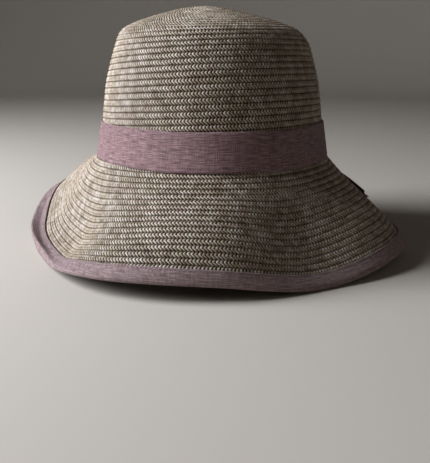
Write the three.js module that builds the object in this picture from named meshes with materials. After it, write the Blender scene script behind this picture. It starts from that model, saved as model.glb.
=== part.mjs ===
// A woven straw sun hat: a domed crown and a wide, wavy, down-turned brim of sewn braid, a ribbon round
// the headline knotted behind the right ear, and a tape folded over the brim's edge.
// Millimetres, +Z up. The front faces -Y, and +X is the right of someone who looks at the front.
import * as THREE from "three";
import { ParametricGeometry } from "three/addons/geometries/ParametricGeometry.js";

// Driving dimensions
const HEAD_HALF_WIDTH = 88;
const HEAD_HALF_DEPTH = 103;
const CROWN_HEIGHT = 109.5;
const WALL_TAPER = 0.16;
const APEX_LEAN = 4.8;
const BRIM_WIDTH = 86;
const STRAW_WALL = 1.8;
const BRAID_PITCH = 4.6;
const COLLAR_RISE = 9;
const BAND_WIDTH = 27;
const BAND_THICKNESS = 1.2;
const BINDING_WIDTH = 11;
const BINDING_THICKNESS = 1.0;
const REST_FLAT = 0.8;
const RIBBON_THICKNESS = 1.0;
const RIBBON_WIDTH = 24;
const RIBBON_GATHER = 9;
const RIBBON_SPREAD = 30;
const KNOT_WIDTH = 24;
const KNOT_HEIGHT = 26;
const KNOT_DEPTH = 8;
const KNOT_BACK = 0.45;
const KNOT_AZIMUTH = THREE.MathUtils.degToRad(150);
const CLEARANCE = 0.3;

// Facets: stations round the hat are shared by every ring, so that neighbouring pieces stay parallel
const STATIONS = 48;
const TAIL_STEPS = 22;
const FLARE_HANDLE = 0.38;

// The top leans from this share of the crown's height above the ribbon
const LEAN_FROM = 0.63;

// The crown's side view above the ribbon, in shares of the height and the half width that are left there
const CROWN_PROFILE = [
  { height: 0.0, width: 1.0 },
  { height: 0.16, width: 0.983 },
  { height: 0.33, width: 0.96 },
  { height: 0.54, width: 0.908 },
  { height: 0.69, width: 0.858 },
  { height: 0.79, width: 0.787 },
  { height: 0.85, width: 0.665 },
  { height: 0.89, width: 0.547 },
  { height: 0.935, width: 0.39 },
  { height: 0.978, width: 0.205 },
  { height: 1.0, width: 0.0 },
];

// The brim's folds, one row each 30 degrees from the front towards the right. Reach and drop are shares of
// the brim's width, out and down from the headline to the edge; the slopes are degrees below level.
const BRIM_FOLDS = [
  { fold: "front", reach: 0.62, drop: 0.69, rootSlope: 44, edgeSlope: 76 },
  { fold: "front right dip", reach: 0.61, drop: 0.785, rootSlope: 55, edgeSlope: 40 },
  { fold: "right of the face", reach: 0.735, drop: 0.69, rootSlope: 40, edgeSlope: 58 },
  { fold: "right side", reach: 0.685, drop: 0.7, rootSlope: 50, edgeSlope: 40 },
  { fold: "behind the right side", reach: 0.74, drop: 0.66, rootSlope: 48, edgeSlope: 36 },
  { fold: "back right", reach: 0.715, drop: 0.678, rootSlope: 36, edgeSlope: 50 },
  { fold: "back", reach: 0.665, drop: 0.789, rootSlope: 42, edgeSlope: 50 },
  { fold: "back left", reach: 0.715, drop: 0.66, rootSlope: 34, edgeSlope: 46 },
  { fold: "lifted behind the left side", reach: 0.76, drop: 0.49, rootSlope: 18, edgeSlope: 44 },
  { fold: "left side, edge turned up", reach: 0.65, drop: 0.73, rootSlope: 38, edgeSlope: 20 },
  { fold: "front left dip, edge turned up", reach: 0.565, drop: 0.767, rootSlope: 62, edgeSlope: 2 },
  { fold: "front left", reach: 0.74, drop: 0.66, rootSlope: 42, edgeSlope: 30 },
];

// The ribbon's two ends on the brim: degrees round from the knot and share of the brim's width at the tip,
// and the side of the knot that each comes from
const RIBBON_ENDS = [
  { name: "ribbon_tail_side", side: -1, turn: -44, reach: 0.76 },
  { name: "ribbon_tail_back", side: 1, turn: 17, reach: 0.72 },
];

const STRAW = { color: 0xa38f78, roughness: 0.85 };
const CLOTH = { color: 0x96747e, roughness: 0.9 };

const depthShare = HEAD_HALF_DEPTH / HEAD_HALF_WIDTH;

// A mesh of one piece
function piece(name, geometry, look) {
  const mesh = new THREE.Mesh(geometry, new THREE.MeshStandardMaterial({ ...look, metalness: 0 }));
  mesh.name = name;
  return mesh;
}

// A ring-shaped solid: pointAt(azimuth, index) walks once round its closed section at each station. The
// facets of a lining, from the point lined on, are split the other way, as those of the surface it faces.
function ringSolid(pointAt, sectionPoints, lined = sectionPoints) {
  const surface = (u, v, target) => {
    const station = Math.round(u * STATIONS) % STATIONS;
    const index = Math.round(v * sectionPoints) % sectionPoints;
    target.copy(pointAt((station * 2 * Math.PI) / STATIONS, index));
  };
  const geometry = new ParametricGeometry(surface, STATIONS, sectionPoints);
  const corners = geometry.index.array;
  for (let quad = lined * STATIONS; quad < sectionPoints * STATIONS; quad += 1) {
    const [a, b, d, , c] = corners.slice(6 * quad, 6 * quad + 6);
    corners.set([a, b, c, a, c, d], 6 * quad);
  }
  return geometry;
}

// Half width of the upright wall under the ribbon, at a height above the headline
function wallHalfWidth(height) {
  return HEAD_HALF_WIDTH - WALL_TAPER * height;
}

// A point of the upright wall, set off outwards by a distance
function wallPoint(azimuth, height, offset) {
  const half = wallHalfWidth(height) + offset;
  return new THREE.Vector3(half * Math.sin(azimuth), -half * depthShare * Math.cos(azimuth), height);
}

// One column of the fold table at an azimuth, eased from fold to fold all the way round
function foldValue(column, azimuth) {
  const count = BRIM_FOLDS.length;
  const place = THREE.MathUtils.euclideanModulo(azimuth / (2 * Math.PI), 1) * count;
  const first = Math.floor(place);
  const t = place - first;
  const [a, b, c, d] = [-1, 0, 1, 2].map((step) => BRIM_FOLDS[(first + step + count) % count][column]);
  return b + 0.5 * t * (c - a + t * (2 * a - 5 * b + 4 * c - d + t * (3 * b - a - 3 * c + d)));
}

// The brim's slope line at an azimuth: out from the headline in x, and down from it in y
function flareCurve(azimuth) {
  const root = THREE.MathUtils.degToRad(foldValue("rootSlope", azimuth));
  const edge = THREE.MathUtils.degToRad(foldValue("edgeSlope", azimuth));
  const handle = FLARE_HANDLE * BRIM_WIDTH;
  const start = new THREE.Vector2(0, 0);
  const end = new THREE.Vector2(foldValue("reach", azimuth), -foldValue("drop", azimuth));
  end.multiplyScalar(BRIM_WIDTH);
  const leave = new THREE.Vector2(Math.cos(root), -Math.sin(root)).multiplyScalar(handle);
  const arrive = new THREE.Vector2(-Math.cos(edge), Math.sin(edge)).multiplyScalar(handle).add(end);
  return new THREE.CubicBezierCurve(start, leave, arrive, end);
}

const flareCurves = new Map();

// A point of the brim at a distance down its slope from the headline, set off upwards by a distance
function flarePoint(azimuth, distance, offset) {
  if (!flareCurves.has(azimuth)) {
    flareCurves.set(azimuth, flareCurve(azimuth));
  }
  const curve = flareCurves.get(azimuth);
  const share = THREE.MathUtils.clamp(distance / BRIM_WIDTH, 0, 1);
  const place = curve.getPointAt(share);
  const along = curve.getTangentAt(share);
  const outwards = new THREE.Vector3(Math.sin(azimuth) * depthShare, -Math.cos(azimuth), 0).normalize();
  const point = wallPoint(azimuth, 0, 0).addScaledVector(outwards, place.x - along.y * offset);
  point.z = place.y + along.x * offset;
  return point;
}

// The crown: braid rows sewn up the sides and over a slightly peaked top, open below
function crown() {
  const topHalfWidth = wallHalfWidth(BAND_WIDTH);
  const domeHeight = CROWN_HEIGHT - BAND_WIDTH;
  const side = new THREE.SplineCurve(
    CROWN_PROFILE.map(({ height, width }) => {
      return new THREE.Vector2(width * topHalfWidth, BAND_WIDTH + height * domeHeight);
    }),
  );
  const rows = Math.round(side.getLength() / BRAID_PITCH);
  const outside = side.getSpacedPoints(rows);
  const inside = outside
    .map((place, row) => {
      const along = side.getTangentAt(row / rows);
      return new THREE.Vector2(place.x - along.y * STRAW_WALL, place.y + along.x * STRAW_WALL);
    })
    .filter((place, row) => row > 0 && row < rows && row % 3 === 0);
  const profile = [
    new THREE.Vector2(0, CROWN_HEIGHT - STRAW_WALL),
    ...inside.reverse(),
    new THREE.Vector2(topHalfWidth - STRAW_WALL, BAND_WIDTH),
    new THREE.Vector2(wallHalfWidth(COLLAR_RISE) - STRAW_WALL, COLLAR_RISE),
    new THREE.Vector2(wallHalfWidth(COLLAR_RISE), COLLAR_RISE),
    ...outside.slice(0, rows),
    new THREE.Vector2(0, CROWN_HEIGHT),
  ];
  const geometry = new THREE.LatheGeometry(profile, STATIONS);
  geometry.rotateX(Math.PI / 2);
  geometry.scale(1, depthShare, 1);
  const position = geometry.attributes.position;
  const leanStart = BAND_WIDTH + LEAN_FROM * domeHeight;
  for (let i = 0; i < position.count; i += 1) {
    const lean = APEX_LEAN * THREE.MathUtils.smoothstep(position.getZ(i), leanStart, CROWN_HEIGHT);
    position.setX(i, position.getX(i) - lean);
  }
  return piece("crown", geometry, STRAW);
}

// The brim: braid rows from a short collar under the ribbon, out over the flare to the edge
function brim() {
  const collarTop = COLLAR_RISE - CLEARANCE;
  const bare = BRIM_WIDTH - BINDING_WIDTH;
  const rows = Math.round(bare / BRAID_PITCH);
  const bound = [BRIM_WIDTH - BINDING_WIDTH / 2, BRIM_WIDTH - BINDING_THICKNESS - CLEARANCE];
  const rings = [...Array(rows).keys()].map((row) => (bare * (row + 1)) / rows).concat(bound);
  const section = rings.toReversed().map((distance) => (azimuth) => flarePoint(azimuth, distance, 0));
  section.push((azimuth) => wallPoint(azimuth, 0, 0));
  section.push((azimuth) => wallPoint(azimuth, collarTop, 0));
  section.push((azimuth) => wallPoint(azimuth, collarTop, -STRAW_WALL));
  section.push((azimuth) => wallPoint(azimuth, STRAW_WALL, -STRAW_WALL));
  for (const distance of rings.filter((ring, row) => ring >= bare || row % 2 === 1)) {
    section.push((azimuth) => flarePoint(azimuth, distance, -STRAW_WALL));
  }
  return piece("brim", ringSolid((azimuth, index) => section[index](azimuth), section.length), STRAW);
}

// The ribbon round the headline, over the join of crown and brim
function hatBand() {
  const inner = CLEARANCE;
  const outer = CLEARANCE + BAND_THICKNESS;
  const low = CLEARANCE;
  const section = [
    [low, outer],
    [BAND_WIDTH / 2, outer],
    [BAND_WIDTH, outer],
    [BAND_WIDTH, inner],
    [BAND_WIDTH / 2, inner],
    [low, inner],
  ];
  const pointAt = (azimuth, index) => wallPoint(azimuth, ...section[index]);
  return piece("hat_band", ringSolid(pointAt, section.length), CLOTH);
}

// The tape folded over the brim's edge, pressed flat where its lowest places rest
function edgeBinding() {
  const above = CLEARANCE + BINDING_THICKNESS;
  const below = -STRAW_WALL - above;
  const fold = BRIM_WIDTH - BINDING_THICKNESS;
  const start = BRIM_WIDTH - BINDING_WIDTH;
  const middle = BRIM_WIDTH - BINDING_WIDTH / 2;
  const round = BINDING_THICKNESS;
  const outside = [
    [start, below],
    [middle, below],
    [fold, below],
    [BRIM_WIDTH, below + round],
    [BRIM_WIDTH, above - round],
    [fold, above],
    [middle, above],
    [start, above],
  ];
  const inside = [
    [start, CLEARANCE],
    [middle, CLEARANCE],
    [fold, CLEARANCE],
    [fold, -STRAW_WALL - CLEARANCE],
    [middle, -STRAW_WALL - CLEARANCE],
    [start, -STRAW_WALL - CLEARANCE],
  ];
  const section = [...outside, ...inside];
  let floor = 0;
  for (let station = 0; station < STATIONS; station += 1) {
    for (const place of outside) {
      floor = Math.min(floor, flarePoint((station * 2 * Math.PI) / STATIONS, ...place).z + REST_FLAT);
    }
  }
  const pointAt = (azimuth, index) => {
    const point = flarePoint(azimuth, ...section[index]);
    point.z = index < outside.length ? Math.max(point.z, floor) : point.z;
    return point;
  };
  return piece("edge_binding", ringSolid(pointAt, section.length, outside.length), CLOTH);
}

// A point on the outside of the hat: up the ribbon for distances below zero, down the brim for the others
function outsidePoint(azimuth, distance, offset) {
  const overBand = 2 * CLEARANCE + BAND_THICKNESS;
  if (distance <= 0) {
    return wallPoint(azimuth, -distance, overBand + offset);
  }
  const settle = THREE.MathUtils.smoothstep(distance, 0, 4 * BAND_THICKNESS);
  return flarePoint(azimuth, distance, THREE.MathUtils.lerp(overBand, CLEARANCE, settle) + offset);
}

// The ribbon's knot: a rounded pad with a flat back, upright over the ribbon
function ribbonKnot() {
  const geometry = new THREE.SphereGeometry(1, 16, 12);
  const position = geometry.attributes.position;
  const point = new THREE.Vector3();
  for (let i = 0; i < position.count; i += 1) {
    point.fromBufferAttribute(position, i);
    const turn = (point.x * KNOT_WIDTH) / 2 / HEAD_HALF_DEPTH;
    const rise = (BAND_WIDTH + point.y * KNOT_HEIGHT) / 2;
    const offset = (Math.max(point.z, -KNOT_BACK) + KNOT_BACK) * (KNOT_DEPTH / (1 + KNOT_BACK));
    point.copy(outsidePoint(KNOT_AZIMUTH + turn, -rise, offset));
    position.setXYZ(i, point.x, point.y, point.z);
  }
  return piece("ribbon_knot", geometry, CLOTH);
}

// One end of the ribbon: a strip gathered at the knot, laid over the brim and cut square. The brim is taken
// as a cone laid flat, where the strip is straight, and each point is then put back on the hat.
function ribbonTail({ name, side, turn, reach }) {
  const slope = Math.atan2(foldValue("drop", KNOT_AZIMUTH), foldValue("reach", KNOT_AZIMUTH));
  const headlineRadius = HEAD_HALF_DEPTH / Math.cos(slope);
  const start = new THREE.Vector2((side * RIBBON_GATHER) / 2 + side, headlineRadius + 2 * BAND_THICKNESS);
  const tipAngle = THREE.MathUtils.degToRad(turn) * Math.cos(slope);
  const tipRadius = headlineRadius + reach * BRIM_WIDTH;
  const tip = new THREE.Vector2(Math.sin(tipAngle), Math.cos(tipAngle)).multiplyScalar(tipRadius);
  const along = tip.sub(start);
  const length = along.length();
  along.normalize();
  const across = new THREE.Vector2(along.y, -along.x);
  const geometry = new THREE.BoxGeometry(length, 1, RIBBON_THICKNESS, TAIL_STEPS, 4, 1);
  const position = geometry.attributes.position;
  for (let i = 0; i < position.count; i += 1) {
    const gone = position.getX(i) + length / 2;
    const spread = THREE.MathUtils.smoothstep(gone, 0, RIBBON_SPREAD);
    const width = THREE.MathUtils.lerp(RIBBON_GATHER, RIBBON_WIDTH, spread);
    const flat = start.clone().addScaledVector(along, gone).addScaledVector(across, position.getY(i) * width);
    const azimuth = KNOT_AZIMUTH + Math.atan2(flat.x, flat.y) / Math.cos(slope);
    const offset = position.getZ(i) + RIBBON_THICKNESS / 2;
    const point = outsidePoint(azimuth, flat.length() - headlineRadius, offset);
    position.setXYZ(i, point.x, point.y, point.z);
  }
  return piece(name, geometry, CLOTH);
}

// The hat stands on the lowest places of its edge, over the middle of its bounding box
const hat = new THREE.Group();
hat.add(crown(), brim(), hatBand(), edgeBinding(), ribbonKnot(), ...RIBBON_ENDS.map(ribbonTail));
const extent = new THREE.Box3().setFromObject(hat);
const centre = extent.getCenter(new THREE.Vector3());
hat.position.set(-centre.x, -centre.y, -extent.min.z);
const model = new THREE.Group();
model.add(hat);

export default model;
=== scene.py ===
import bpy
import numpy as np
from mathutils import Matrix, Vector


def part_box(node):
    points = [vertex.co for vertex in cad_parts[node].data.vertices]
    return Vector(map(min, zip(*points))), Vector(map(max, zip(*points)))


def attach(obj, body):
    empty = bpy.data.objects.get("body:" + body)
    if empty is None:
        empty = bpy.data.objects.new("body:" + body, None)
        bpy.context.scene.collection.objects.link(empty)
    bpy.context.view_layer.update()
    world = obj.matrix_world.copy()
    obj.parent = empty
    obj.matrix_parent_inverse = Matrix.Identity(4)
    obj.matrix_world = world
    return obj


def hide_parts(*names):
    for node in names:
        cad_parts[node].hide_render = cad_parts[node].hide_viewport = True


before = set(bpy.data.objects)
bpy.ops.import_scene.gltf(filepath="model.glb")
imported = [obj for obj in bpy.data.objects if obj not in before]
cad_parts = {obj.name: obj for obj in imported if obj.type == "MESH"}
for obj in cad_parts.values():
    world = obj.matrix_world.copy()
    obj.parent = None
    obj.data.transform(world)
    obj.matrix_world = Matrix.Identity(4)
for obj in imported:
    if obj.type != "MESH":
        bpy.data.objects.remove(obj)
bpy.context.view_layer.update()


# The room. A pale matt table top bends up into a wall all round, under soft daylight: a broad window on the
# left, a weak warm fill in front and a dim sky. The camera stands in front of the hat, at the height of its
# crown, and looks down on it a little.
mm = 0.001
PALE = (0.45, 0.411, 0.366)
PALE_ROUGHNESS = 0.9
MIDDLE_RADIUS = 0.01
TABLE_RADIUS = 1.7
TABLE_BEND = 0.8
WALL_TOP = 2.8
BELOW_HAT = 0.2 * mm
ROOM_SIDES = 96
BEND_STEPS = 12

# The camera's place in metres, its angles in degrees, and its lens from the photograph's pixels
EYE = (0.0010, -0.5666, 0.1500)
LOOK_DOWN = 14.5
TILT = 0.25
SENSOR = 36.0
FOCAL_PIXELS = 720
PHOTO_LONG_SIDE = 463
NEAR_LIMIT = 0.01

# The lights all face the hat's middle
HAT_MIDDLE = (0, 0, 0.1)
WINDOW_PLACE = (-1.05, -0.15, 0.62)
WINDOW_SIZE = 0.7
WINDOW_POWER = 36.5
DAYLIGHT = (0.90, 0.942, 1.0)
FILL_PLACE = (0.2, -1.5, 1.3)
FILL_SIZE = 1.2
FILL_POWER = 0.6
WARM_FILL = (1.0, 0.89, 0.72)
DIM_SKY = (0.60, 0.50, 0.37)
SKY_STRENGTH = 0.025


def add_node(tree, kind, settings=(), **inputs):
    """A shader node with its settings and its inputs: a socket that is given is linked, a value is set. An
    input is named by its socket's name, or by an underscore and its number."""
    made = tree.nodes.new(kind)
    for name, value in dict(settings).items():
        setattr(made, name, value)
    for name, value in inputs.items():
        numbered = name[1:].isdigit()
        slot = made.inputs[int(name[1:])] if numbered else made.inputs[name.replace("_", " ")]
        if isinstance(value, bpy.types.NodeSocket):
            tree.links.new(value, slot)
        else:
            slot.default_value = value
    return made


def new_material(name):
    """An empty node material and its tree, with the surface shader already on the output."""
    material = bpy.data.materials.new(name)
    material.use_nodes = True
    tree = material.node_tree
    tree.nodes.clear()
    shader = add_node(tree, "ShaderNodeBsdfPrincipled")
    add_node(tree, "ShaderNodeOutputMaterial", Surface=shader.outputs["BSDF"])
    return material, tree, shader


def mesh_object(name, points, faces, material, cloth=None, **values):
    """An object at the origin from points [..., 3] and a list of faces. Cloth is each face corner's place on
    the flat cloth, for the UV map, and the other values are one number per point."""
    mesh = bpy.data.meshes.new(name)
    mesh.from_pydata(points.reshape(-1, 3).tolist(), [], faces)
    for value_name, numbers in values.items():
        layer = mesh.attributes.new(value_name, "FLOAT", "POINT")
        layer.data.foreach_set("value", np.ascontiguousarray(numbers, np.float32).ravel())
    if cloth is not None:
        places = np.ascontiguousarray(cloth, np.float32).ravel()
        mesh.uv_layers.new(name="cloth").data.foreach_set("uv", places)
    mesh.polygons.foreach_set("use_smooth", np.ones(len(mesh.polygons), bool))
    mesh.materials.append(material)
    mesh.update()
    made = bpy.data.objects.new(name, mesh)
    bpy.context.scene.collection.objects.link(made)
    return made


def quads(columns, rows, round_columns=True, round_rows=True):
    """Corner places (column, row) of the quads of a grid, [quads, 4, 2], before they wrap round."""
    column_starts = np.arange(columns if round_columns else columns - 1)
    row_starts = np.arange(rows if round_rows else rows - 1)
    i, j = np.meshgrid(column_starts, row_starts, indexing="ij")
    corner_columns = np.stack([i, i + 1, i + 1, i], -1)
    corner_rows = np.stack([j, j, j + 1, j + 1], -1)
    return np.stack([corner_columns, corner_rows], -1).reshape(-1, 4, 2)


def grid_faces(corners, columns, rows):
    """Point numbers of grid quads, wrapped round where the grid closes on itself."""
    return ((corners[..., 0] % columns) * rows + corners[..., 1] % rows).tolist()


pale_paper, pale_tree, pale_shader = new_material("pale_paper")
pale_shader.inputs["Base Color"].default_value = (*PALE, 1)
pale_shader.inputs["Roughness"].default_value = PALE_ROUGHNESS
bend = np.linspace(0, np.pi / 2, BEND_STEPS)
bowl_radius = np.concatenate([
    [MIDDLE_RADIUS], TABLE_RADIUS + TABLE_BEND * np.sin(bend), [TABLE_RADIUS + TABLE_BEND],
])
bowl_height = np.concatenate([[0], TABLE_BEND - TABLE_BEND * np.cos(bend), [WALL_TOP]]) - BELOW_HAT
around = np.linspace(0, 2 * np.pi, ROOM_SIDES, endpoint=False)[:, None]
bowl_points = np.stack([
    bowl_radius * np.cos(around), bowl_radius * np.sin(around), bowl_height + 0 * around,
], -1)
bowl_rows = len(bowl_height)
bowl_faces = grid_faces(quads(ROOM_SIDES, bowl_rows, round_rows=False)[:, ::-1], ROOM_SIDES, bowl_rows)
middle_face = [(np.arange(ROOM_SIDES) * bowl_rows).tolist()]
backdrop = mesh_object("backdrop", bowl_points, bowl_faces + middle_face, pale_paper)

camera = bpy.data.objects.new("camera", bpy.data.cameras.new("camera"))
bpy.context.scene.collection.objects.link(camera)
camera.location = EYE
camera.rotation_euler = np.radians([90 - LOOK_DOWN, -TILT, 0])
camera.data.sensor_width = SENSOR
camera.data.lens = SENSOR * FOCAL_PIXELS / PHOTO_LONG_SIDE
camera.data.clip_start = NEAR_LIMIT
bpy.context.scene.camera = camera


def area_light(name, place, size, power, colour):
    """A square soft light at a place, turned to face the hat's middle."""
    data = bpy.data.lights.new(name, "AREA")
    data.size = size
    data.energy = power
    data.color = colour
    made = bpy.data.objects.new(name, data)
    made.location = place
    made.rotation_euler = (Vector(HAT_MIDDLE) - Vector(place)).to_track_quat("-Z", "Y").to_euler()
    bpy.context.scene.collection.objects.link(made)


area_light("window", WINDOW_PLACE, WINDOW_SIZE, WINDOW_POWER, DAYLIGHT)
area_light("fill", FILL_PLACE, FILL_SIZE, FILL_POWER, WARM_FILL)
world = bpy.data.worlds.new("pale_sky")
world.use_nodes = True
world.node_tree.nodes["Background"].inputs["Color"].default_value = (*DIM_SKY, 1)
world.node_tree.nodes["Background"].inputs["Strength"].default_value = SKY_STRENGTH
bpy.context.scene.world = world
bpy.context.scene.view_settings.view_transform = "Standard"


# The crown. One long flat plait of paper straw is wound from the middle of the top outwards and down, and
# each row is sewn over the upper edge of the next. The rows climb a little to the right across the front.
BAND_WIDTH = 27 * mm
WALL_TAPER = 0.16
# The crown's solid starts this far above the headline
COLLAR = 9 * mm
crown_low, crown_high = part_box("crown")
AXIS_X = (crown_low.x + crown_high.x) / 2
AXIS_Y = (crown_low.y + crown_high.y) / 2
HEADLINE = crown_low.z - COLLAR
HALF_WIDTH = (crown_high.x - crown_low.x) / 2 + WALL_TAPER * COLLAR
HALF_DEPTH = (crown_high.y - crown_low.y) / 2 * HALF_WIDTH / (HALF_WIDTH - WALL_TAPER * COLLAR)
DEPTH_SHARE = HALF_DEPTH / HALF_WIDTH
CROWN_HEIGHT = crown_high.z - HEADLINE

# The crown's side from the ribbon's upper edge to the apex: share of the height, share of the half width
CROWN_SIDE = np.array([
    (0.0, 1.0), (0.16, 0.983), (0.33, 0.96), (0.54, 0.908), (0.69, 0.858), (0.79, 0.787),
    (0.85, 0.665), (0.89, 0.547), (0.935, 0.39), (0.978, 0.205), (1.0, 0.0),
])
# The apex leans to the left, from this share of the height above the ribbon
APEX_LEAN = 4.8 * mm
LEAN_FROM = 0.63

# The rows: the plait's spacing, the join's height above the headline under the ribbon, how much higher the
# rows run at the front and at the right, the shares of the rows from which and over which that sets in, and
# the radius of the hole at the apex, in rows
CROWN_ROW = 4.4 * mm
JOIN_HEIGHT = 7.5 * mm
FRONT_LIFT = 5.1 * mm
RIGHT_LIFT = 2.7 * mm
LIFT_FROM = 0.3
LIFT_OVER = 0.35
APEX_HOLE = 0.03

# The plait: a stitch's length, how far its strands sweep back towards each edge, the middle line of their V
# and how wide the step across that line is, in rows
STITCH = 2.35 * mm
PLAIT_SLANT = 1.5 * mm
PLAIT_MIDDLE = 0.58
MIDDLE_BLEND = 0.2
# How far the row's edges draw in at each gap, and how far from the row's middle they begin, in rows
SCALLOP = 0.07
SCALLOP_FROM = 0.42
SAMPLES_A_TURN = 500
# The plait cut across: place in the row, height in millimetres, and how deep the gaps between strands sink
PLAIT_SECTION = np.array([
    (0.00, -1.00, 0.00), (0.14, -0.12, 0.50), (0.36, 0.38, 0.70), (0.58, 0.20, 0.34), (0.78, 0.44, 0.70),
    (0.95, 0.20, 0.60), (1.07, -0.45, 0.34), (0.98, -1.20, 0.10), (0.10, -1.45, 0.10),
])
# The height of a strand along one stitch, in gap depths: the gap, then the strand's two shoulders
STRAND_FORM = np.array([-1.0, 0.1, 0.1])

# The crown's plait starts at the first of these turns, and is cut into pieces at the other two
FIRST_TURN = -0.6
SHOULDER_TURN = 17.0
WALL_TURN = 24.0

STRAW_DARK = (0.14, 0.104, 0.072)
STRAW_MIDDLE = (0.305, 0.245, 0.178)
STRAW_LIGHT = (0.48, 0.43, 0.38)
STRAW_TONES = (0.52, 1.46)
STRAW_HUES = (0.47, 0.52)
STRAW_SATURATION = 1.08
STRAW_ROUGHNESS = (0.42, 0.66)
# Where a gap's painted shade fades in a stitch, how much it takes away, where the painted shade of the
# tucked edge fades in a row, and how much it leaves
GAP_FADE = (0.08, 0.25)
GAP_SHADE = 0.9
TUCKED_EDGE = (0.0, 0.24)
TUCKED_SHADE = 0.1
# The fibres' noise is scaled per stitch and per row, so that they run along the strands, and the patches'
# noise per metre
FIBRE_STRETCH = (9.0, 2.2, 1.0)
PATCH_SCALE = 120.0
# How much each strand's own chance and its fibres add to its tone, what its number gains on the outer half
# of the plait, and what sets its hue's chance apart from its tone's
CHANCE_IN_TONE = 0.5
FIBRE_IN_TONE = 0.5
OUTER_PART = 0.37
HUE_SHIFT = 0.61
STRAW_RELIEF = 0.6 * mm


def smooth_step(a, b, c, d, t):
    """The smooth cubic from b to c for t from nought to one, with neighbours a and d:
    b + t(c-a)/2 + t^2(2a-5b+4c-d)/2 + t^3(3b-a-3c+d)/2."""
    return b + 0.5 * t * (c - a + t * (2 * a - 5 * b + 4 * c - d + t * (3 * b - a - 3 * c + d)))


def smooth_line(rows, steps=24):
    """A smooth line through the rows, in equal steps of the cubic between each two."""
    padded = np.vstack([rows[:1], rows, rows[-1:]])
    a, b, c, d = (padded[k:len(rows) - 1 + k, None] for k in range(4))
    t = np.linspace(0, 1, steps, endpoint=False)[None, :, None]
    return np.vstack([smooth_step(a, b, c, d, t).reshape(-1, rows.shape[1]), rows[-1:]])


def length_gone(points):
    """How far each point of a line lies along it: the sum of the lengths before it, from nought."""
    return np.concatenate([[0], np.cumsum(np.linalg.norm(np.diff(points, axis=0), axis=1))])


def ease(share):
    """Nought below nought, one above one, and 3t^2 - 2t^3 between."""
    t = np.clip(share, 0, 1)
    return t * t * (3 - 2 * t)


def row_lift(azimuth):
    """How much higher the rows run than the ribbon's edge. With c the azimuth's cosine, the front's share is
    (c + sqrt(c^2 + 0.04)) / 2: one at the front, a tenth at the sides and nearly nought behind. The right's
    share is the sine."""
    c = np.cos(azimuth)
    frontness = (c + np.sqrt(c * c + 0.04)) / 2
    return FRONT_LIFT * frontness + RIGHT_LIFT * np.sin(azimuth)


top_half_width = HALF_WIDTH - WALL_TAPER * BAND_WIDTH
above_band = np.stack([
    CROWN_SIDE[:, 1] * top_half_width,
    BAND_WIDTH + CROWN_SIDE[:, 0] * (CROWN_HEIGHT - BAND_WIDTH),
], 1)
crown_line = np.vstack([smooth_line(above_band)[::-1], [(HALF_WIDTH, 0.0)]])
crown_run = length_gone(crown_line)
crown_slope = np.gradient(crown_line, crown_run, axis=0)
crown_turns = int(round((crown_run[-1] - JOIN_HEIGHT) / CROWN_ROW))


def crown_point(distance, azimuth, lift):
    """A place at a distance from the apex down the crown's side line, turned round the axis, deeper than
    wide, lifted along the line's normal, and leaning to the left towards the apex."""
    out, up = (np.interp(distance, crown_run, crown_line[:, k]) for k in (0, 1))
    run_out, run_up = (np.interp(distance, crown_run, crown_slope[:, k]) for k in (0, 1))
    half = out - run_up * lift
    height = up + run_out * lift
    above_ribbon = (up - BAND_WIDTH) / (CROWN_HEIGHT - BAND_WIDTH)
    lean = APEX_LEAN * ease((above_ribbon - LEAN_FROM) / (1 - LEAN_FROM))
    x = AXIS_X + half * np.sin(azimuth) - lean
    y = AXIS_Y - half * DEPTH_SHARE * np.cos(azimuth)
    return np.stack(np.broadcast_arrays(x, y, HEADLINE + height), -1)


def crown_row_point(turn, across, lift):
    """A place in the crown's rows. The row number is turn plus across, and the rows near the ribbon are
    lifted."""
    azimuth = np.pi - 2 * np.pi * turn
    share = np.maximum(turn + across, APEX_HOLE) / crown_turns
    level = (crown_run[-1] - JOIN_HEIGHT) * share
    return crown_point(level - row_lift(azimuth) * ease((share - LIFT_FROM) / LIFT_OVER), azimuth, lift)


def plait(name, row_point, first_turn, last_turn, material, first_stitch=0.0):
    """A plait along a spiral. Its centre line is cut three times a stitch, and at each cut the section stands
    across the row. Away from the middle line it sweeps back by the slant, which makes the V, and its outer
    half lies half a stitch behind. Each stitch's first cut is its gap: it sinks, and the row's edges draw in
    there. Both ends are closed."""
    turns = np.linspace(first_turn, last_turn, int(SAMPLES_A_TURN * (last_turn - first_turn)))
    run = length_gone(row_point(turns, np.full_like(turns, 0.5), np.zeros_like(turns)))
    steps = len(STRAND_FORM)
    columns = steps * int(run[-1] / STITCH) + 1
    turn = np.interp(np.linspace(0, run[-1], columns), run, turns)[:, None]
    turn_rate = np.gradient(turn[:, 0], run[-1] / (columns - 1))[:, None]
    place, height, relief = PLAIT_SECTION.T[:, None, :]
    form = STRAND_FORM[np.arange(columns) % steps][:, None]
    swept = PLAIT_SLANT * 2 * np.abs(place - PLAIT_MIDDLE)
    half_behind = 0.5 * STITCH * ease((place - PLAIT_MIDDLE) / MIDDLE_BLEND + 0.5)
    from_centre = place - 0.5
    drawn_in = SCALLOP * form * np.sign(from_centre) * (np.abs(from_centre) > SCALLOP_FROM)
    points = row_point(
        turn - turn_rate * (swept + half_behind), place + drawn_in, (height + form * relief) * mm,
    )
    count = len(PLAIT_SECTION)
    faces = grid_faces(quads(columns, count, round_columns=False), columns, count)
    ends = [list(range(count)), list(range(columns * count - 1, (columns - 1) * count - 1, -1))]
    stitch = first_stitch + np.repeat(np.arange(columns)[:, None] / steps, count, 1)
    made = mesh_object(
        name, points, faces + ends, material, stitch=stitch, across=np.repeat(place, columns, 0),
    )
    return made, stitch[-1, 0]


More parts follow.
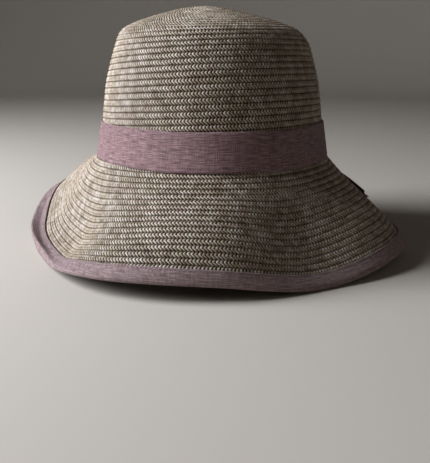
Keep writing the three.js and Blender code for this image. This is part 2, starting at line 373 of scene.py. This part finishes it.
def maths(tree, operation, *values):
    """The result of a maths node. Each value is a number or a socket."""
    inputs = {f"_{number}": value for number, value in enumerate(values)}
    return add_node(tree, "ShaderNodeMath", {"operation": operation}, **inputs).outputs[0]


def times_axes(tree, vector, factors):
    """A vector with each axis times its own factor."""
    return add_node(tree, "ShaderNodeVectorMath", {"operation": "MULTIPLY"}, _0=vector, _1=factors).outputs[0]


def soft_noise(tree, vector, scale, detail):
    """Cloudy noise around a half."""
    return add_node(tree, "ShaderNodeTexNoise", Vector=vector, Scale=scale, Detail=detail).outputs["Fac"]


def random_share(tree, key):
    """A random number from nought to one for each value of the key."""
    return add_node(tree, "ShaderNodeTexWhiteNoise", {"noise_dimensions": "1D"}, W=key).outputs["Value"]


def in_range(tree, value, old, new=(0.0, 1.0), form="LINEAR"):
    """The value taken from the old range to the new one, and held at its ends."""
    return add_node(
        tree, "ShaderNodeMapRange", {"interpolation_type": form},
        Value=value, From_Min=old[0], From_Max=old[1], To_Min=new[0], To_Max=new[1],
    ).outputs[0]


def graded(tree, place, *colours):
    """The colour at a place from nought to one along two or more evenly spaced colours."""
    ramp = add_node(tree, "ShaderNodeValToRGB", _0=place)
    stops = ramp.color_ramp.elements
    stops[0].color = (*colours[0], 1)
    stops[1].color = (*colours[-1], 1)
    for number, colour in enumerate(colours[1:-1], 1):
        stops.new(number / (len(colours) - 1)).color = (*colour, 1)
    return ramp.outputs["Color"]


def paper_straw():
    """Straw with its colours strand by strand. A strand's number is its stitch, plus a part for the outer
    half of the plait. Its tone is its own chance, the fibres along it and patches over the hat, added up.
    The gaps between strands and the edge tucked under the row above are darkened with painted shade."""
    material, tree, shader = new_material("paper_straw")
    stitch = add_node(tree, "ShaderNodeAttribute", {"attribute_name": "stitch"}).outputs["Fac"]
    across = add_node(tree, "ShaderNodeAttribute", {"attribute_name": "across"}).outputs["Fac"]
    outer_half = maths(tree, "GREATER_THAN", across, PLAIT_MIDDLE)
    strand = maths(tree, "MULTIPLY_ADD", outer_half, OUTER_PART, maths(tree, "FLOOR", stitch))
    along = add_node(tree, "ShaderNodeCombineXYZ", X=stitch, Y=across).outputs[0]
    fibre = soft_noise(tree, times_axes(tree, along, FIBRE_STRETCH), 1.0, 3.0)
    spot = add_node(tree, "ShaderNodeTexCoord").outputs["Object"]
    patches = soft_noise(tree, spot, PATCH_SCALE, 1.0)
    tone = maths(tree, "MULTIPLY_ADD", random_share(tree, strand), CHANCE_IN_TONE, patches)
    tone = maths(tree, "MULTIPLY_ADD", fibre, FIBRE_IN_TONE, tone)
    plain = graded(tree, in_range(tree, tone, STRAW_TONES), STRAW_DARK, STRAW_MIDDLE, STRAW_LIGHT)
    hue_chance = random_share(tree, maths(tree, "ADD", strand, HUE_SHIFT))
    hue = in_range(tree, hue_chance, (0.0, 1.0), STRAW_HUES)
    dyed = add_node(
        tree, "ShaderNodeHueSaturation", Hue=hue, Saturation=STRAW_SATURATION, Color=plain,
    ).outputs[0]
    # Painted shade: the gaps between strands and the edge tucked under the row above are darkened
    gap = in_range(tree, maths(tree, "PINGPONG", stitch, 0.5), GAP_FADE, (1.0, 0.0), "SMOOTHSTEP")
    tucked = in_range(tree, across, TUCKED_EDGE, (TUCKED_SHADE, 1.0))
    shade = maths(tree, "MULTIPLY", maths(tree, "MULTIPLY_ADD", gap, -GAP_SHADE, 1.0), tucked)
    colour = add_node(
        tree, "ShaderNodeMix", {"data_type": "RGBA", "blend_type": "MULTIPLY"},
        Factor=1.0, _6=dyed, _7=shade,
    ).outputs[2]
    tree.links.new(colour, shader.inputs["Base Color"])
    height = maths(tree, "MULTIPLY_ADD", fibre, 0.35, shade)
    bump = add_node(tree, "ShaderNodeBump", Height=height, Distance=STRAW_RELIEF, Strength=0.6).outputs[0]
    tree.links.new(bump, shader.inputs["Normal"])
    tree.links.new(in_range(tree, fibre, (0.0, 1.0), STRAW_ROUGHNESS), shader.inputs["Roughness"])
    return material


straw = paper_straw()
crown_top, stitches = plait("crown_braid_top", crown_row_point, FIRST_TURN, SHOULDER_TURN, straw)
crown_wall, stitches = plait("crown_braid_wall", crown_row_point, SHOULDER_TURN, WALL_TURN, straw, stitches)
crown_foot, stitches = plait(
    "crown_braid_foot", crown_row_point, WALL_TURN, crown_turns - 1.0, straw, stitches,
)
for piece in (crown_top, crown_wall, crown_foot):
    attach(piece, "root")
    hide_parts("crown")


# The brim. The same plait goes on from the crown without a break, out over the flare to the edge. It is soft,
# so it hangs in waves: a dip at each side of the front, a lift behind, and an edge turned up at the left.
BRIM_WIDTH = 86 * mm
# The rows end this far down the slope, under the tape, and this many rows' widths from the join
BRIM_END = 83.5 * mm
BRIM_TURNS = 21
# The plait is cut into two pieces at this turn
LOWER_TURN = 10.9
# How far the slopes at both ends of the flare reach into it, in brim widths
FLARE_HANDLE = 0.38
# One row each 30 degrees, from the front round by the right: how far out and down the edge lies, in brim
# widths, and how steeply the slope leaves the headline and meets the edge, in degrees
BRIM_FOLDS = np.array([
    (0.62, 0.69, 44, 76),
    (0.61, 0.785, 55, 40),
    (0.735, 0.69, 40, 58),
    (0.685, 0.7, 50, 40),
    (0.74, 0.66, 48, 36),
    (0.715, 0.678, 36, 50),
    (0.665, 0.789, 42, 50),
    (0.715, 0.66, 34, 46),
    (0.76, 0.49, 18, 44),
    (0.65, 0.73, 38, 20),
    (0.565, 0.767, 62, 2),
    (0.74, 0.66, 42, 30),
])
# The grid that the brim is read from: azimuths, steps down the slope, steps up the wall above it, and the
# finer steps in which each arc is measured
FLARE_COLUMNS = 720
FLARE_STEPS = 87
WALL_STEPS = 18
ARC_STEPS = 120


def fold_values(azimuth):
    """The fold table at an azimuth, eased from row to row all the way round by the smooth cubic."""
    count = len(BRIM_FOLDS)
    place = azimuth / (2 * np.pi) % 1 * count
    first = np.floor(place).astype(int)
    a, b, c, d = (BRIM_FOLDS[(first + step) % count] for step in (-1, 0, 1, 2))
    return smooth_step(a, b, c, d, (place - first)[..., None])


def flare_table():
    """Reach, height and their slopes on a grid of azimuths and distances. Below the headline the line is a
    cubic arc from the headline to the edge with the folds' slopes at its ends, cut in equal shares of its
    length. Above the headline it is the straight wall."""
    folds = fold_values(np.arange(FLARE_COLUMNS) * 2 * np.pi / FLARE_COLUMNS)
    reach, drop, root, edge = np.moveaxis(folds, -1, 0)
    root, edge = np.radians(root), np.radians(edge)
    end = np.stack([reach, -drop], 1) * BRIM_WIDTH
    leave = np.stack([np.cos(root), -np.sin(root)], 1) * FLARE_HANDLE * BRIM_WIDTH
    arrive = end - np.stack([np.cos(edge), -np.sin(edge)], 1) * FLARE_HANDLE * BRIM_WIDTH
    t = np.linspace(0, 1, ARC_STEPS + 1)[None, :, None]
    arc = 3 * (1 - t) ** 2 * t * leave[:, None] + 3 * (1 - t) * t * t * arrive[:, None]
    arc = arc + t ** 3 * end[:, None]
    run = np.cumsum(np.linalg.norm(np.diff(arc, axis=1), axis=2), axis=1)
    run = np.concatenate([np.zeros((FLARE_COLUMNS, 1)), run], 1) / run[:, -1:]
    share = np.linspace(0, 1, FLARE_STEPS)
    low = np.clip((run[:, None, :] <= share[None, :, None]).sum(-1) - 1, 0, ARC_STEPS - 1)
    start, stop = np.take_along_axis(run, low, 1), np.take_along_axis(run, low + 1, 1)
    part = ((share - start) / (stop - start))[..., None]
    column = np.arange(FLARE_COLUMNS)[:, None]
    flare = arc[column, low] * (1 - part) + arc[column, low + 1] * part
    above = np.arange(-WALL_STEPS, 0) * BRIM_WIDTH / (FLARE_STEPS - 1)
    wall = np.broadcast_to(np.stack([WALL_TAPER * above, -above], 1), (FLARE_COLUMNS, WALL_STEPS, 2))
    line = np.concatenate([wall, flare], 1)
    slope = np.gradient(line, axis=1)
    return np.concatenate([line, slope / np.linalg.norm(slope, axis=2, keepdims=True)], 2)


flare_grid = flare_table()


def brim_point(distance, azimuth, lift):
    """A place at a distance down the brim's slope from the headline, read between the grid's four nearest
    places, lifted along the slope's normal, and set out square to the oval of the headline."""
    column = azimuth / (2 * np.pi) % 1 * FLARE_COLUMNS
    last_row = FLARE_STEPS + WALL_STEPS - 1
    row = np.clip(distance / BRIM_WIDTH * (FLARE_STEPS - 1) + WALL_STEPS, 0, last_row - 0.001)
    left, low = np.floor(column).astype(int), np.floor(row).astype(int)
    u, v = (column - left)[..., None], (row - low)[..., None]
    left, right = left % FLARE_COLUMNS, (left + 1) % FLARE_COLUMNS
    read = (flare_grid[left, low] * (1 - v) + flare_grid[left, low + 1] * v) * (1 - u)
    read = read + (flare_grid[right, low] * (1 - v) + flare_grid[right, low + 1] * v) * u
    out = read[..., 0] - read[..., 3] * lift
    up = read[..., 1] + read[..., 2] * lift
    square_x, square_y = DEPTH_SHARE * np.sin(azimuth), -np.cos(azimuth)
    size = np.hypot(square_x, square_y)
    x = AXIS_X + HALF_WIDTH * np.sin(azimuth) + out * square_x / size
    y = AXIS_Y - HALF_DEPTH * np.cos(azimuth) + out * square_y / size
    return np.stack([x, y, HEADLINE + up], -1)


def brim_row_point(turn, across, lift):
    """A place in the brim's rows, spaced evenly from the join under the ribbon to the edge under the tape."""
    turn, across, lift = np.broadcast_arrays(turn, across, lift)
    azimuth = np.pi - 2 * np.pi * turn
    join = -JOIN_HEIGHT - row_lift(azimuth)
    return brim_point(join + (BRIM_END - join) * (turn + across) / BRIM_TURNS, azimuth, lift)


brim_upper, stitches = plait("brim_braid_upper", brim_row_point, 0.0, LOWER_TURN, straw, stitches)
brim_lower, stitches = plait(
    "brim_braid_lower", brim_row_point, LOWER_TURN, BRIM_TURNS - 1.0, straw, stitches,
)
for piece in (brim_upper, brim_lower):
    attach(piece, "root")
    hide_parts("brim")


# The ribbon. A strip of mauve linen cloth is drawn tight round the headline over the join of the rows, with a
# faint waviness where the straw's ridges press through. Its ends meet under the knot.
KNOT_AZIMUTH = np.radians(150)
RIBBON_COLUMNS = 720
RIBBON_DARK = (0.062, 0.033, 0.035)
RIBBON_MIDDLE = (0.18, 0.10, 0.106)
RIBBON_LIGHT = (0.41, 0.268, 0.29)
# The ribbon cut across, up its outside and down its inside: height and distance off the wall in millimetres
RIBBON_OUTSIDE = [
    (0.4, 0.85), (0.7, 1.15), (2.0, 1.3), (5.5, 1.2), (9.5, 1.25), (13.5, 1.15), (17.5, 1.2), (21.5, 1.15),
    (25.2, 1.3), (26.5, 1.15), (26.8, 0.85),
]
RIBBON_INSIDE = [(26.3, 0.65), (13.5, 0.65), (0.9, 0.65)]
# How far from the ribbon's inside the straw's pressing comes to its full value, and that value in
# millimetres
PRESSED_OVER = 0.5 * mm
PRESSED_OUT = 0.15

# The cloth: a thread's thickness, and the slubs, drawn out along the weft and then along the warp
THREAD = 0.75 * mm
SLUB_STRETCHES = ((0.11, 1.6, 1.0), (1.6, 0.15, 1.0))
SLUB_SCALE = 0.8
# How much the two sets of slubs, the thread's own tone and the crossing's height, which is painted
# shade in the gaps between threads, add to the tone
WEFT_IN_TONE = 2.0
WARP_IN_TONE = 0.8
SHADE_IN_TONE = 0.24
WEAVE_SHADE_IN_TONE = 0.55
LINEN_TONES = (1.33, 2.36)
LINEN_ROUGHNESS = 0.75
LINEN_SPECULAR = 0.3
LINEN_SHEEN = 0.22
SHEEN_ROUGHNESS = 0.4
SHEEN_TINT = (0.86, 0.78, 0.84)
LINEN_RELIEF = 0.25 * mm


def linen(name, dark, middle, light):
    """Plain woven cloth on the UV map's metres. Threads cross as the product of two sines, and the upper
    thread's own random tone shows. Long slubs run along both sets, more along the weft. The tone is the
    slubs, the thread's tone and the crossing's height added up. The crossing's height is painted shade:
    the gaps between threads are darker."""
    material, tree, shader = new_material(name)
    flat = add_node(tree, "ShaderNodeUVMap", {"uv_map": "cloth"}).outputs["UV"]
    threads = add_node(
        tree, "ShaderNodeVectorMath", {"operation": "SCALE"}, _0=flat, Scale=1 / THREAD,
    ).outputs[0]
    split = add_node(tree, "ShaderNodeSeparateXYZ", _0=threads)
    wave_x, wave_y = (maths(tree, "SINE", maths(tree, "MULTIPLY", split.outputs[k], np.pi)) for k in "XY")
    shade_x, shade_y = (random_share(tree, maths(tree, "FLOOR", split.outputs[k])) for k in "XY")
    crossing = maths(tree, "MULTIPLY", wave_x, wave_y)
    weave = maths(tree, "ABSOLUTE", crossing)
    warp_up = maths(tree, "GREATER_THAN", crossing, 0.0)
    shade = add_node(tree, "ShaderNodeMix", Factor=warp_up, A=shade_y, B=shade_x).outputs[0]
    weft_slubs, warp_slubs = (
        soft_noise(tree, times_axes(tree, threads, stretch), SLUB_SCALE, 3.0) for stretch in SLUB_STRETCHES
    )
    tone = maths(tree, "MULTIPLY_ADD", warp_slubs, WARP_IN_TONE, 0.1)
    tone = maths(tree, "MULTIPLY_ADD", weft_slubs, WEFT_IN_TONE, tone)
    tone = maths(tree, "MULTIPLY_ADD", shade, SHADE_IN_TONE, tone)
    # Painted shade: the tone falls where the threads' crossing is low, so the gaps between threads are darker
    tone = maths(tree, "MULTIPLY_ADD", weave, WEAVE_SHADE_IN_TONE, tone)
    colour = graded(tree, in_range(tree, tone, LINEN_TONES), dark, middle, light)
    tree.links.new(colour, shader.inputs["Base Color"])
    rise = maths(tree, "MULTIPLY_ADD", weft_slubs, 1.2, weave)
    bump = add_node(tree, "ShaderNodeBump", Height=rise, Distance=LINEN_RELIEF, Strength=0.9).outputs[0]
    tree.links.new(bump, shader.inputs["Normal"])
    shader.inputs["Roughness"].default_value = LINEN_ROUGHNESS
    shader.inputs["Specular IOR Level"].default_value = LINEN_SPECULAR
    shader.inputs["Sheen Weight"].default_value = LINEN_SHEEN
    shader.inputs["Sheen Roughness"].default_value = SHEEN_ROUGHNESS
    shader.inputs["Sheen Tint"].default_value = (*SHEEN_TINT, 1)
    return material


def wall_point(azimuth, height, lift):
    """A place on the upright wall under the ribbon, at a height above the headline, set off outwards."""
    half = HALF_WIDTH - WALL_TAPER * height + lift
    x = AXIS_X + half * np.sin(azimuth)
    y = AXIS_Y - half * DEPTH_SHARE * np.cos(azimuth)
    return np.stack(np.broadcast_arrays(x, y, HEADLINE + height), -1)


def cloth_places(grid):
    """Each grid point's place on the flat cloth, in metres: the mean length of the rows gone along, and the
    mean length gone across, for one column and one row more than the grid, so that what is round can
    close."""
    looped = np.concatenate([grid, grid[:1]], 0)
    looped = np.concatenate([looped, looped[:, :1]], 1)
    along = np.linalg.norm(np.diff(looped, axis=0), axis=2).mean(1)
    across = np.linalg.norm(np.diff(looped, axis=1), axis=2).mean(0)
    u, v = np.concatenate([[0], np.cumsum(along)]), np.concatenate([[0], np.cumsum(across)])
    return np.stack(np.meshgrid(u, v, indexing="ij"), -1)


def cloth_ring(name, grid, material):
    """A closed ring of cloth from its sections [columns, rows, 3]."""
    corners = quads(*grid.shape[:2])
    place = cloth_places(grid)[corners[..., 0], corners[..., 1]]
    return mesh_object(name, grid, grid_faces(corners, *grid.shape[:2]), material, cloth=place)


def columns_round(count):
    """Azimuths evenly round the hat, from the knot's."""
    return KNOT_AZIMUTH + np.arange(count)[:, None] * 2 * np.pi / count


ribbon_linen = linen("mauve_linen", RIBBON_DARK, RIBBON_MIDDLE, RIBBON_LIGHT)
azimuth = columns_round(RIBBON_COLUMNS)
height, off = np.array(RIBBON_OUTSIDE + RIBBON_INSIDE).T[:, None] * mm
pressed = np.clip((off - RIBBON_INSIDE[0][1] * mm) / PRESSED_OVER, 0, 1)
wavy = 0.16 * np.sin(9 * azimuth + 1.3) + 0.12 * np.sin(17 * azimuth - 0.4 + height / mm * 0.15)
edge_wave = 0.22 * np.sin(7 * azimuth + 0.5) + 0.12 * np.sin(23 * azimuth)
ribbon = wall_point(azimuth, height + edge_wave * mm, off + pressed * (PRESSED_OUT + wavy) * mm)
hat_ribbon = cloth_ring("hat_ribbon", ribbon, ribbon_linen)
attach(hat_ribbon, "root")
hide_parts("hat_band")


# The edge tape. A strip of the same cloth is folded over the brim's edge and sewn through with a running
# stitch. It is cut straight and eased round the curve, so it puckers a little, most at the front left. At
# the left its rim stands up like the lip of a gutter.
TAPE_COLUMNS = 1440
TAPE_WIDTH = 11 * mm
TAPE_DARK = (0.11, 0.072, 0.072)
TAPE_MIDDLE = (0.23, 0.156, 0.157)
TAPE_LIGHT = (0.42, 0.32, 0.328)
# The tape cut across: millimetres in from the brim's edge, millimetres above the straw's surface, and how
# much it puckers. First its outside, from its edge below, round the fold and back on top, then its
# inside, back down to its edge below.
TAPE_OUTSIDE = [
    (11.0, -2.7, 0), (10.0, -3.0, 0.3), (7.0, -3.05, 1), (4.0, -3.0, 0.8), (1.6, -2.7, 0.4), (0.3, -2.0, 0.1),
    (-0.1, -0.9, 0), (0.2, 0.2, 0.1), (1.2, 1.0, 0.4), (2.6, 1.35, 0.8), (4.4, 1.4, 1), (6.2, 1.35, 1),
    (8.0, 1.4, 0.9), (9.2, 1.35, 0.5), (9.8, 1.2, 0.1), (10.4, 1.5, 0.2), (10.9, 1.4, 0.1), (11.1, 1.05, 0),
]
TAPE_INSIDE = [
    (10.8, 0.8, 0), (6.0, 0.8, 0), (1.8, 0.6, 0), (1.3, -0.9, 0), (1.8, -2.2, 0), (6.0, -2.4, 0),
    (10.8, -2.4, 0),
]
# Where the hat rests, the tape's outside lies on the table and its inside this far above
TAPE_THICKNESS = 0.45 * mm

# The puckers: their spacing, their depth in millimetres all round and more at the front left, and where
# that is
PUCKER = 3.5 * mm
PUCKER_DEPTH = 0.10
FRONT_LEFT_DEPTH = 0.17
FRONT_LEFT = -np.pi / 7
FRONT_LEFT_SPREAD = 0.55
# The rim at the left: its rise in millimetres, where it is highest and how far it spreads round the edge,
# its ridge and how far it spreads, in millimetres from the edge, and the height off the straw above which
# the tape rises with it
RIM_RISE = 6.3
RIM_AZIMUTH = -0.47 * np.pi
RIM_SPREAD = 0.52
RIDGE_PLACE = 1.4
RIDGE_SPREAD = 2.2
RIM_ABOVE = -1


def bell(distance, spread):
    """A bell one high at no distance: e to the power -(distance / spread)^2."""
    return np.exp(-(distance / spread) ** 2)


def turned_from(azimuth, centre):
    """How far an azimuth lies from a centre, the short way round."""
    return (azimuth - centre + np.pi) % (2 * np.pi) - np.pi


tape_linen = linen("mauve_tape", TAPE_DARK, TAPE_MIDDLE, TAPE_LIGHT)
azimuth = columns_round(TAPE_COLUMNS)
tape_section = np.array(TAPE_OUTSIDE + TAPE_INSIDE)
inwards, lift, puckered = tape_section.T[:, None]
outside = np.arange(len(tape_section)) < len(TAPE_OUTSIDE)
edge_line = brim_point(np.full(TAPE_COLUMNS, BRIM_WIDTH), azimuth[:, 0], np.zeros(TAPE_COLUMNS))
gone = length_gone(edge_line)[:, None]
slant = 2.0 + 0.5 * np.sin(azimuth * 2 + 1)
drift = 2.4 * np.sin(gone / (19 * mm)) + 1.5 * np.sin(gone / (7.1 * mm))
phase = 2 * np.pi * (gone / PUCKER + slant * inwards * mm / TAPE_WIDTH) + drift
depth = PUCKER_DEPTH + FRONT_LEFT_DEPTH * bell(turned_from(azimuth, FRONT_LEFT), FRONT_LEFT_SPREAD)
ripple = np.sin(phase) * depth + 0.16 * np.sin(gone / (13 * mm) + inwards * 0.2)
rolled = bell(turned_from(azimuth, RIM_AZIMUTH), RIM_SPREAD)
ridge = bell(inwards - RIDGE_PLACE, RIDGE_SPREAD) * outside * (lift > RIM_ABOVE)
height = lift + ripple * puckered * np.sign(lift) + RIM_RISE * rolled * ridge
points = brim_point(BRIM_WIDTH - inwards * mm, azimuth, height * mm)
points[..., 2] = np.maximum(points[..., 2], np.where(outside, 0.0, TAPE_THICKNESS))
edge_tape = cloth_ring("edge_tape", points, tape_linen)
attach(edge_tape, "root")
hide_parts("edge_binding")


# The running stitches that hold the tape. They are of thread in the tape's colour, and go through the brim,
# so they show above and below it. Each dips into the cloth at both ends.
SEWN_COUNT = 316
SEWN_LENGTH = 1.9 * mm
# How far they lie in from the brim's edge, how thick the thread is, and how deep their ends dip
SEWN_LINE = 9.7 * mm
SEWN_RADIUS = 0.24 * mm
SEWN_SIDES = 5
SEWN_SINK = 0.5 * mm
# Their heights off the straw's upper surface
SEWN_ABOVE = 1.35 * mm
SEWN_BELOW = -3.0 * mm
# A stitch's cuts: place along it from its middle, and share of the sink
SEWN_CUTS = np.array([(-0.5, 1), (-0.3, 0), (0.3, 0), (0.5, 1)])
SEWING_DARK = (0.09, 0.05, 0.06)
SEWING_LIGHT = (0.24, 0.15, 0.17)
SEWING_TWIST = 2600.0
SEWING_ROUGHNESS = 0.6

sewing_thread, tree, shader = new_material("sewing_thread")
twist = soft_noise(tree, add_node(tree, "ShaderNodeTexCoord").outputs["Object"], SEWING_TWIST, 1.0)
tree.links.new(graded(tree, twist, SEWING_DARK, SEWING_LIGHT), shader.inputs["Base Color"])
shader.inputs["Roughness"].default_value = SEWING_ROUGHNESS

cuts = len(SEWN_CUTS)
points_each = cuts * SEWN_SIDES
first_point = points_each * np.arange(SEWN_COUNT)[:, None]
one_stitch = np.array(grid_faces(quads(cuts, SEWN_SIDES, round_columns=False), cuts, SEWN_SIDES))
sewn_faces = (one_stitch + first_point[..., None]).reshape(-1, 4).tolist()
start_faces = (np.arange(SEWN_SIDES) + first_point).tolist()
stop_faces = (np.arange(points_each - 1, points_each - SEWN_SIDES - 1, -1) + first_point).tolist()
along, dipped = SEWN_CUTS.T[:, None, :, None]
middle_gone = (np.arange(SEWN_COUNT) + 0.5)[:, None, None] / SEWN_COUNT * gone[-1, 0]
sewn_azimuth = np.interp(middle_gone + along * SEWN_LENGTH, gone[:, 0], azimuth[:, 0])
round_thread = np.linspace(0, 2 * np.pi, SEWN_SIDES, endpoint=False)[None, None]
for name, height, sink in (
    ("edge_stitches_above", SEWN_ABOVE, -SEWN_SINK),
    ("edge_stitches_below", SEWN_BELOW, SEWN_SINK),
):
    places = np.broadcast_arrays(
        BRIM_WIDTH - SEWN_LINE + SEWN_RADIUS * np.cos(round_thread),
        sewn_azimuth,
        height + dipped * sink + SEWN_RADIUS * np.sin(round_thread),
    )
    points = brim_point(*places)
    points[..., 2] = np.maximum(points[..., 2], 0)
    sewn = mesh_object(name, points, sewn_faces + start_faces + stop_faces, sewing_thread)
    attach(sewn, "root")


# The knot. The ribbon's ends are wrapped over the join behind the right side, and the wrap is pulled into
# upright folds.
KNOT_HALF_WIDTH = 12 * mm
KNOT_HALF_HEIGHT = 13.4 * mm
KNOT_DEPTH = 8 * mm
# How far its flat back lies off the wall
KNOT_OFF = 1.9 * mm
# The share of the depth at which the back is flat, the power that squares the oval, and the waist's narrowing
KNOT_BACK = 0.45
KNOT_SQUARE = 0.8
KNOT_WAIST = 0.12
# The folds: their depth, their number on each side of the middle, and the power that keeps creases narrow
FOLD_DEPTH = 1.5 * mm
FOLD_COUNT = 2.3
FOLD_SHARPNESS = 0.7
KNOT_COLUMNS = 96
KNOT_ROWS = 48
# The oval's rows stop this share short of its poles, which flat caps close
POLE_GAP = 0.015

turn = -np.arange(KNOT_COLUMNS)[:, None] * 2 * np.pi / KNOT_COLUMNS
down = np.linspace(1 - POLE_GAP, POLE_GAP, KNOT_ROWS)[None] * np.pi
side, up, out = np.cos(turn) * np.sin(down), np.cos(down) + 0 * turn, np.sin(turn) * np.sin(down)
side = np.sign(side) * np.abs(side) ** KNOT_SQUARE
up = np.sign(up) * np.abs(up) ** KNOT_SQUARE
fold = np.abs(np.sin(np.pi * (FOLD_COUNT * side + 0.22 * np.sin(2.2 * up) + 0.2))) ** FOLD_SHARPNESS
outward = (np.maximum(out, -KNOT_BACK) + KNOT_BACK) * KNOT_DEPTH / (1 + KNOT_BACK)
outward = outward - (1 - fold) * FOLD_DEPTH * np.clip(out * 2, 0, 1) * (1 - 0.5 * up ** 2)
waist = 1 - KNOT_WAIST * (1 - up ** 2)
knot_azimuth = KNOT_AZIMUTH + side * KNOT_HALF_WIDTH * waist / HALF_DEPTH
knot_points = wall_point(knot_azimuth, BAND_WIDTH / 2 + up * KNOT_HALF_HEIGHT, KNOT_OFF + outward)
corners = quads(KNOT_COLUMNS, KNOT_ROWS, round_rows=False)
place = cloth_places(knot_points)[corners[..., 0], corners[..., 1]]
first_row = np.arange(KNOT_COLUMNS) * KNOT_ROWS
caps = [first_row[::-1].tolist(), (first_row + KNOT_ROWS - 1).tolist()]
cap_places = np.stack([np.cos(turn[:, 0]), np.sin(turn[:, 0])], 1) * mm
knot = mesh_object(
    "ribbon_wrap", knot_points, grid_faces(corners, KNOT_COLUMNS, KNOT_ROWS) + caps, ribbon_linen,
    cloth=np.concatenate([place.reshape(-1, 2), cap_places, cap_places]),
)
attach(knot, "root")
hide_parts("ribbon_knot")


# The ribbon's two free ends. Each is gathered under the knot, spreads to the ribbon's full width, lies on the
# brim's slope and is cut square. The brim is taken as a cone laid flat, on which the strip is straight.
END_WIDTH = 24 * mm
END_GATHER = 9 * mm
END_SPREAD = 30 * mm
END_THICKNESS = 0.6 * mm
END_STEPS = 90
END_ACROSS = 29
# Where an end comes out of the knot: its near edge's distance from the knot's middle, its distance down
# the slope from the headline, and its distance off the straw
END_BESIDE = 1 * mm
END_BELOW = 2.4 * mm
END_OFF = 1.9 * mm
# An end comes down on the straw over a length, and lies this far off it
SETTLE_OVER = 4.8 * mm
SETTLED_OFF = 0.75 * mm
# The pleats where it is gathered, how far it sways, and how far its edges curl up at the tip
PLEAT_DEPTH = 1.1 * mm
PLEAT_COUNT = 2.5
SWAY = 0.45 * mm
CURL = 1.4 * mm
# Each end: name, node, side of the knot, degrees turned round to its tip, tip's reach in brim widths, and how
# many millimetres the tip stands off the brim
RIBBON_ENDS = (
    ("ribbon_end_side", "ribbon_tail_side", -1, -44, 0.76, 3.2),
    ("ribbon_end_back", "ribbon_tail_back", 1, 17, 0.72, 1.5),
)

knot_fold = fold_values(np.array([KNOT_AZIMUTH]))[0]
cone_slope = np.arctan2(knot_fold[1], knot_fold[0])
cone_radius = HALF_DEPTH / np.cos(cone_slope)
gone_share = np.linspace(0, 1, END_STEPS)[:, None]
across = np.linspace(-0.5, 0.5, END_ACROSS)
across = np.concatenate([across, across[::-1]])[None]
upper = np.repeat([0.0, 1.0], END_ACROSS)[None]
end_rows = 2 * END_ACROSS
end_corners = quads(END_STEPS, end_rows, round_columns=False)[:, ::-1]
first_cut = list(range(end_rows))[::-1]
last_cut = list(range((END_STEPS - 1) * end_rows, END_STEPS * end_rows))
end_faces = grid_faces(end_corners, END_STEPS, end_rows) + [first_cut, last_cut]
for name, node, side, turned, reach, stand in RIBBON_ENDS:
    start = np.array([side * (END_GATHER / 2 + END_BESIDE), cone_radius + END_BELOW])
    tip_angle = np.radians(turned) * np.cos(cone_slope)
    tip = np.array([np.sin(tip_angle), np.cos(tip_angle)]) * (cone_radius + reach * BRIM_WIDTH)
    length = np.linalg.norm(tip - start)
    along = (tip - start) / length
    beside = np.array([along[1], -along[0]])
    spread = ease(gone_share * length / END_SPREAD)
    width = END_GATHER + (END_WIDTH - END_GATHER) * spread
    flat = start + along * (gone_share * length)[..., None] + beside * (across * width)[..., None]
    end_azimuth = KNOT_AZIMUTH + np.arctan2(flat[..., 0], flat[..., 1]) / np.cos(cone_slope)
    distance = np.hypot(flat[..., 0], flat[..., 1]) - cone_radius
    settle = ease(distance / SETTLE_OVER)
    off = END_OFF * (1 - settle) + SETTLED_OFF * settle
    pleats = (1 - spread) * PLEAT_DEPTH * (0.5 - 0.5 * np.cos(2 * np.pi * PLEAT_COUNT * (across + 0.5)))
    sway = spread * SWAY * (1 + np.sin(5.2 * gone_share + 3 * across + side)) * gone_share
    curl = CURL * ease((gone_share - 0.55) / 0.45) * np.abs(2 * across) ** 3
    stood = stand * mm * ease((gone_share - 0.25) / 0.6)
    points = brim_point(distance, end_azimuth, off + pleats + sway + curl + stood + upper * END_THICKNESS)
    place = cloth_places(points)
    corner_places = place[end_corners[..., 0], end_corners[..., 1]].reshape(-1, 2)
    cut_places = [place[0, :end_rows][::-1], place[END_STEPS - 1, :end_rows]]
    strip = mesh_object(
        name, points, end_faces, ribbon_linen, cloth=np.concatenate([corner_places, *cut_places]),
    )
    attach(strip, "root")
    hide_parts(node)
